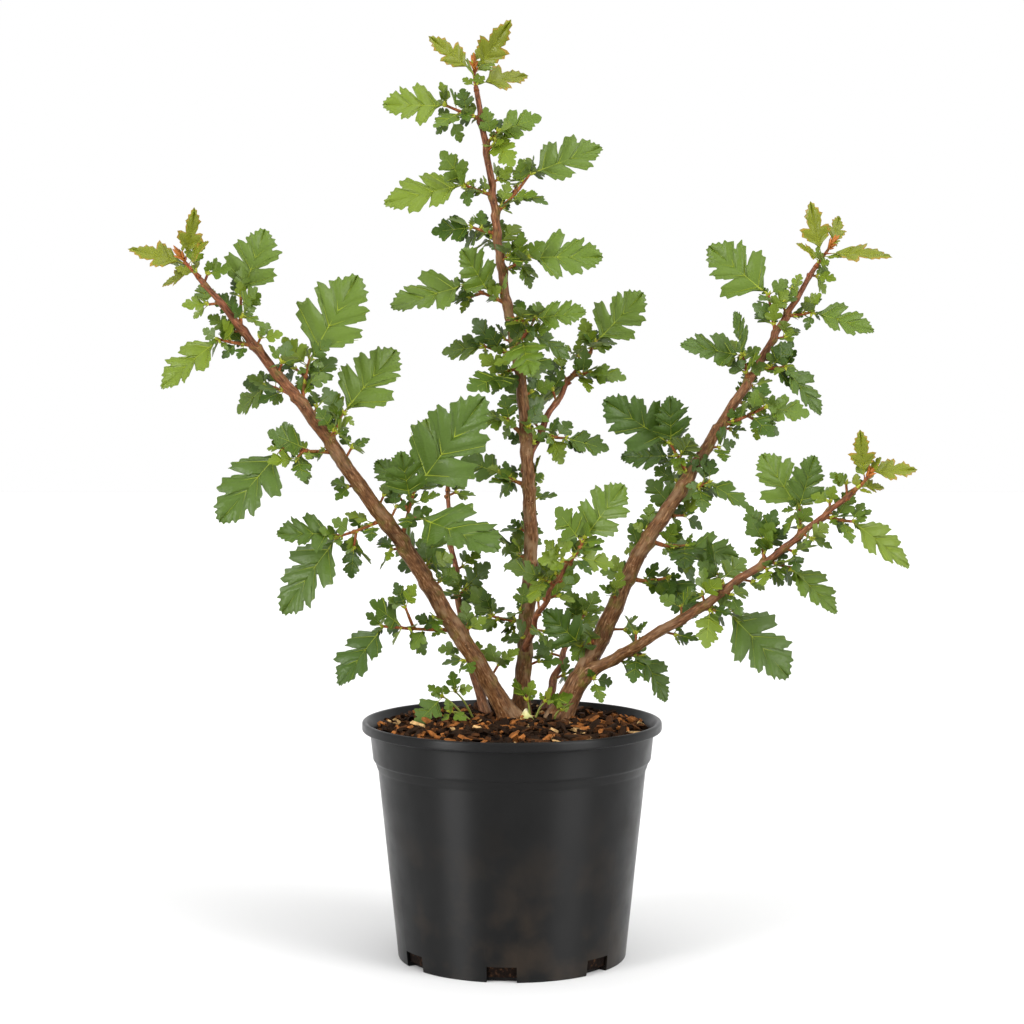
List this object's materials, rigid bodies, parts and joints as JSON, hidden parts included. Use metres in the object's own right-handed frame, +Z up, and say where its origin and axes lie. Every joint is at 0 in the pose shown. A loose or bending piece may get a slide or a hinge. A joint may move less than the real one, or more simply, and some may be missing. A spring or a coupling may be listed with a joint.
{
  "type": "potted hawthorn",
  "caption": "Young bushy hawthorn with spreading stems and lobed leaves, growing in a filled black nursery pot.",
  "frame": {"origin": "centre of the pot's flat underside", "axes": "+Z up; the plant's broad side, as pictured, faces -Y, with +X to the right"},
  "size_m": [0.4783, 0.2273, 0.5964],
  "materials": {
    "pot": "matt moulded black plastic",
    "mulch": "shredded bark",
    "bark": "smooth reddish brown young bark",
    "foliage": "leathery satin leaves"
  },
  "bodies": {
    "root": {"back_left_leaves_01": "foliage", "back_left_leaves_02": "foliage", "back_left_stem": "bark", "back_right_leaves_01": "foliage", "back_right_stem": "bark", "centre_leaves_01": "foliage", "centre_leaves_02": "foliage", "centre_leaves_03": "foliage", "centre_leaves_04": "foliage", "centre_leaves_05": "foliage", "centre_leaves_06": "foliage", "centre_leaves_07": "foliage", "centre_leaves_08": "foliage", "centre_leaves_09": "foliage", "centre_leaves_10": "foliage", "centre_leaves_11": "foliage", "centre_leaves_12": "foliage", "centre_leaves_13": "foliage", "centre_low_bough": "bark", "centre_low_leaves_01": "foliage", "centre_side_bough": "bark", "centre_side_leaves_01": "foliage", "centre_side_leaves_02": "foliage", "centre_side_leaves_03": "foliage", "centre_stem": "bark", "left_leaves_01": "foliage", "left_leaves_02": "foliage", "left_leaves_03": "foliage", "left_leaves_04": "foliage", "left_leaves_05": "foliage", "left_leaves_06": "foliage", "left_leaves_07": "foliage", "left_leaves_08": "foliage", "left_leaves_09": "foliage", "left_leaves_10": "foliage", "left_leaves_11": "foliage", "left_stem": "bark", "low_right_bough": "bark", "low_right_leaves_01": "foliage", "low_right_leaves_02": "foliage", "low_right_leaves_03": "foliage", "low_right_leaves_04": "foliage", "low_right_leaves_05": "foliage", "low_right_leaves_06": "foliage", "low_right_leaves_07": "foliage", "low_right_leaves_08": "foliage", "mulch": "mulch", "pot": "pot", "right_leaves_01": "foliage", "right_leaves_02": "foliage", "right_leaves_03": "foliage", "right_leaves_04": "foliage", "right_leaves_05": "foliage", "right_leaves_06": "foliage", "right_leaves_07": "foliage", "right_leaves_08": "foliage", "right_leaves_09": "foliage", "right_leaves_10": "foliage", "right_leaves_11": "foliage", "right_stem": "bark"}
  },
  "joints": []
}
